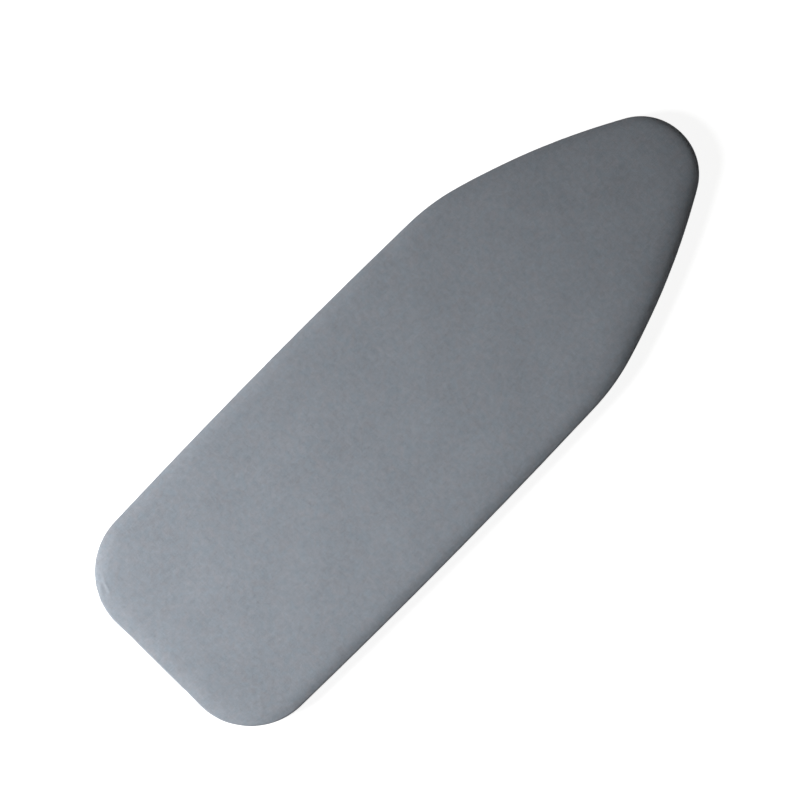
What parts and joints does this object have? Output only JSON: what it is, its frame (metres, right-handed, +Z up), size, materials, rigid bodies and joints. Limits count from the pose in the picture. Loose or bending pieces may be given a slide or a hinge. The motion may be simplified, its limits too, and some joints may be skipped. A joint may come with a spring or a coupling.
{
  "type": "ironing board cover",
  "caption": "Padded grey cover for an ironing board with a tapered nose, a gathered elastic hem and hook-and-loop straps across its mouth.",
  "frame": {"origin": "middle of the bounding box at the hem's lowest face", "axes": "+Y from the tail to the nose, +Z up through the padded top, +X to the right seen from above with the nose away"},
  "size_m": [0.323, 0.913, 0.0353],
  "materials": {
    "face_cloth": "matt plain-woven cloth, grey",
    "foam": "open-cell foam, off-white",
    "felt": "needle felt, off-white",
    "binding_tape": "woven tape, dark grey",
    "elastic": "flat braided elastic, white",
    "webbing": "woven webbing, charcoal",
    "hook_tape": "hook side of touch tape, charcoal",
    "loop_tape": "loop side of touch tape, charcoal"
  },
  "bodies": {
    "cover": {"face_fabric": "face_cloth", "foam_pad": "foam", "felt_backing": "felt", "tail_binding": "binding_tape", "right_side_binding": "binding_tape", "left_side_binding": "binding_tape", "right_taper_binding": "binding_tape", "left_taper_binding": "binding_tape", "nose_binding": "binding_tape", "hem_elastic": "elastic", "rear_strap_anchor": "webbing", "rear_loop_tab": "webbing", "rear_loop_tape": "loop_tape", "front_strap_anchor": "webbing", "front_loop_tab": "webbing", "front_loop_tape": "loop_tape"},
    "rear_strap": {"rear_hook_strap": "webbing", "rear_hook_tape": "hook_tape"},
    "front_strap": {"front_hook_strap": "webbing", "front_hook_tape": "hook_tape"}
  },
  "joints": [
    {"name": "rear_strap_hinge", "type": "hinge", "parent": "cover", "child": "rear_strap", "pos_m": [0.10348, -0.221, 0.0028], "axis": [0, -1, 0], "range_deg": [0, 110]},
    {"name": "front_strap_hinge", "type": "hinge", "parent": "cover", "child": "front_strap", "pos_m": [0.10379, 0.095, 0.0028], "axis": [0, -1, 0], "range_deg": [0, 110]}
  ]
}
